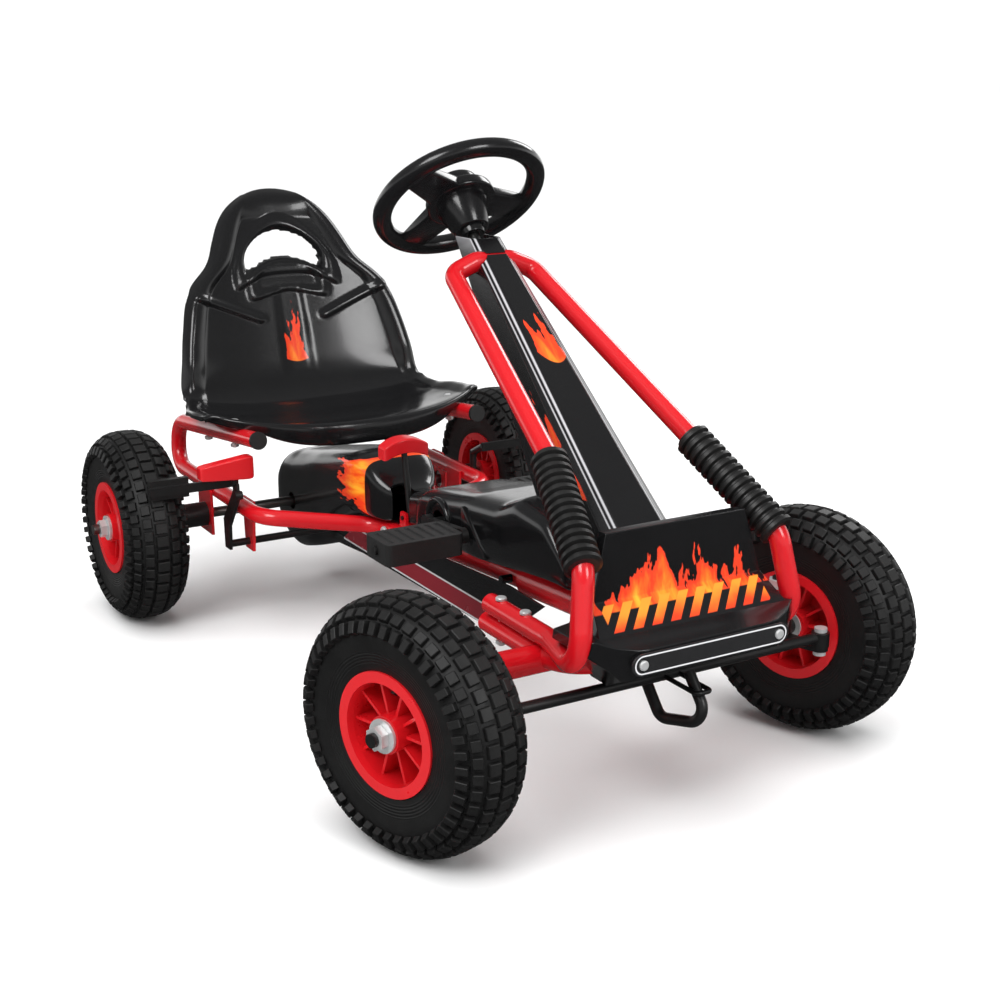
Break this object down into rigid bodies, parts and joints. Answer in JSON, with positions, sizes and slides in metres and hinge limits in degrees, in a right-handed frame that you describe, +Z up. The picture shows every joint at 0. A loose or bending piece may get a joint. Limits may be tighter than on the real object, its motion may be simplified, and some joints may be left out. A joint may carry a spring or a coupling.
{
  "type": "pedal go kart",
  "caption": "Low child's pedal kart with a bucket seat, tubular frame, steering wheel on a raked column, treaded wheels, crank with block pedals and covered chain drive.",
  "frame": {"origin": "on the floor, half way between the front and rear axles and between the left and right wheels", "axes": "+X forward, +Y to the driver's left, +Z up"},
  "size_m": [1.0939, 0.694, 0.6594],
  "materials": {
    "frame_red": "gloss red powder coat",
    "plastic_black": "gloss black moulded plastic",
    "paint_black": "satin black paint on steel",
    "bearing_steel": "plain steel",
    "bush_plastic": "plain dark nylon",
    "zinc": "zinc-plated",
    "chain_steel": "oiled steel",
    "cap_plastic": "matt black plastic",
    "plate": "dark plate with a pale border",
    "bellows_rubber": "satin black rubber",
    "panel": "dark red and black panel",
    "axle_steel": "turned steel",
    "pedal_plastic": "matt black moulded plastic",
    "grip_red": "gloss red plastic",
    "pad_rubber": "black rubber",
    "tyre": "matt charcoal rubber",
    "rim_red": "gloss red plastic",
    "tube_rubber": "black rubber"
  },
  "bodies": {
    "chassis": {"front_frame": "frame_red", "rear_beam": "frame_red", "bumper_tube": "frame_red", "side_tube_right": "frame_red", "side_tube_left": "frame_red", "steering_hoop": "frame_red", "frame_plates": "frame_red", "axle_sleeves": "paint_black", "axle_bearings": "bearing_steel", "drive_brackets": "frame_red", "bushes": "bush_plastic", "frame_bolts": "zinc", "chain": "chain_steel", "seat_shell": "plastic_black", "seat_bolts": "zinc", "tube_caps": "cap_plastic", "nose_fairing": "plastic_black", "number_plate": "plate", "plate_screws": "zinc", "column_cover": "plastic_black", "bellows": "bellows_rubber", "pedal_cover": "plastic_black", "chain_case": "plastic_black", "side_panel": "panel"},
    "steering": {"steering_column": "paint_black", "steering_wheel": "plastic_black", "steering_cap": "plastic_black"},
    "knuckle_right": {"knuckle_right": "paint_black", "knuckle_fasteners_right": "zinc"},
    "knuckle_left": {"knuckle_left": "paint_black", "knuckle_fasteners_left": "zinc"},
    "tie_bar": {"tie_bar": "paint_black"},
    "wheel_front_right": {"tyre_front_right": "tyre", "rim_front_right": "rim_red", "inner_tube_front_right": "tube_rubber", "bearings_front_right": "bearing_steel"},
    "wheel_front_left": {"tyre_front_left": "tyre", "rim_front_left": "rim_red", "inner_tube_front_left": "tube_rubber", "bearings_front_left": "bearing_steel"},
    "wheel_rear_right": {"tyre_rear_right": "tyre", "rim_rear_right": "rim_red", "inner_tube_rear_right": "tube_rubber", "bearings_rear_right": "bearing_steel"},
    "rear_axle": {"rear_axle": "axle_steel", "rear_sprocket": "axle_steel", "axle_nuts": "zinc", "tyre_rear_left": "tyre", "rim_rear_left": "rim_red", "inner_tube_rear_left": "tube_rubber"},
    "crank": {"crank": "paint_black", "front_sprocket": "axle_steel"},
    "pedal_right": {"pedal_right": "pedal_plastic"},
    "pedal_left": {"pedal_left": "pedal_plastic"},
    "brake": {"brake_lever": "paint_black", "brake_grip": "grip_red", "brake_pads": "pad_rubber"},
    "shifter": {"shift_lever": "paint_black", "shift_grip": "grip_red"}
  },
  "joints": [
    {"name": "steering_turn", "type": "hinge", "parent": "chassis", "child": "steering", "pos_m": [0.028, 0, 0.588], "axis": [-0.6468, 0, 0.7627], "range_deg": [-47, 13]},
    {"name": "kingpin_right_turn", "type": "hinge", "parent": "chassis", "child": "knuckle_right", "pos_m": [0.3835, -0.203, 0.16], "axis": [0, 0, 1], "range_deg": [-47, 13]},
    {"name": "kingpin_left_turn", "type": "hinge", "parent": "chassis", "child": "knuckle_left", "pos_m": [0.3835, 0.203, 0.16], "axis": [0, 0, 1], "range_deg": [-47, 13]},
    {"name": "tie_bar_pivot", "type": "hinge", "parent": "knuckle_right", "child": "tie_bar", "pos_m": [0.43705, -0.18663, 0.137], "axis": [0, 0, 1], "range_deg": [-13, 47]},
    {"name": "wheel_front_right_spin", "type": "hinge", "parent": "knuckle_right", "child": "wheel_front_right", "pos_m": [0.40133, -0.26133, 0.13], "axis": [-0.2924, 0.9563, 0], "continuous": true},
    {"name": "wheel_front_left_spin", "type": "hinge", "parent": "knuckle_left", "child": "wheel_front_left", "pos_m": [0.36567, 0.26133, 0.13], "axis": [-0.2924, 0.9563, 0], "continuous": true},
    {"name": "rear_axle_spin", "type": "hinge", "parent": "chassis", "child": "rear_axle", "pos_m": [-0.3835, 0, 0.13], "axis": [0, 1, 0], "continuous": true},
    {"name": "wheel_rear_right_spin", "type": "hinge", "parent": "rear_axle", "child": "wheel_rear_right", "pos_m": [-0.3835, -0.29, 0.13], "axis": [0, 1, 0], "continuous": true},
    {"name": "crank_spin", "type": "hinge", "parent": "chassis", "child": "crank", "pos_m": [0.092, 0, 0.222], "axis": [0, 1, 0], "continuous": true},
    {"name": "pedal_right_spin", "type": "hinge", "parent": "crank", "child": "pedal_right", "pos_m": [0.17468, -0.14, 0.22923], "axis": [0, 1, 0], "continuous": true},
    {"name": "pedal_left_spin", "type": "hinge", "parent": "crank", "child": "pedal_left", "pos_m": [0.00932, 0.14, 0.21477], "axis": [0, 1, 0], "continuous": true},
    {"name": "brake_pull", "type": "hinge", "parent": "chassis", "child": "brake", "pos_m": [-0.285, 0, 0.112], "axis": [0, -1, 0], "range_deg": [0, 4.5]},
    {"name": "shift_tilt", "type": "hinge", "parent": "chassis", "child": "shifter", "pos_m": [-0.083, -0.015, 0.176], "axis": [0, 1, 0], "range_deg": [-10, 10]}
  ],
  "couplings": [
    {"joint": "steering_turn", "follows": "kingpin_right_turn", "ratio": 1},
    {"joint": "kingpin_left_turn", "follows": "kingpin_right_turn", "ratio": 1},
    {"joint": "tie_bar_pivot", "follows": "kingpin_right_turn", "ratio": -1},
    {"joint": "crank_spin", "follows": "rear_axle_spin", "ratio": 0.83333}
  ]
}
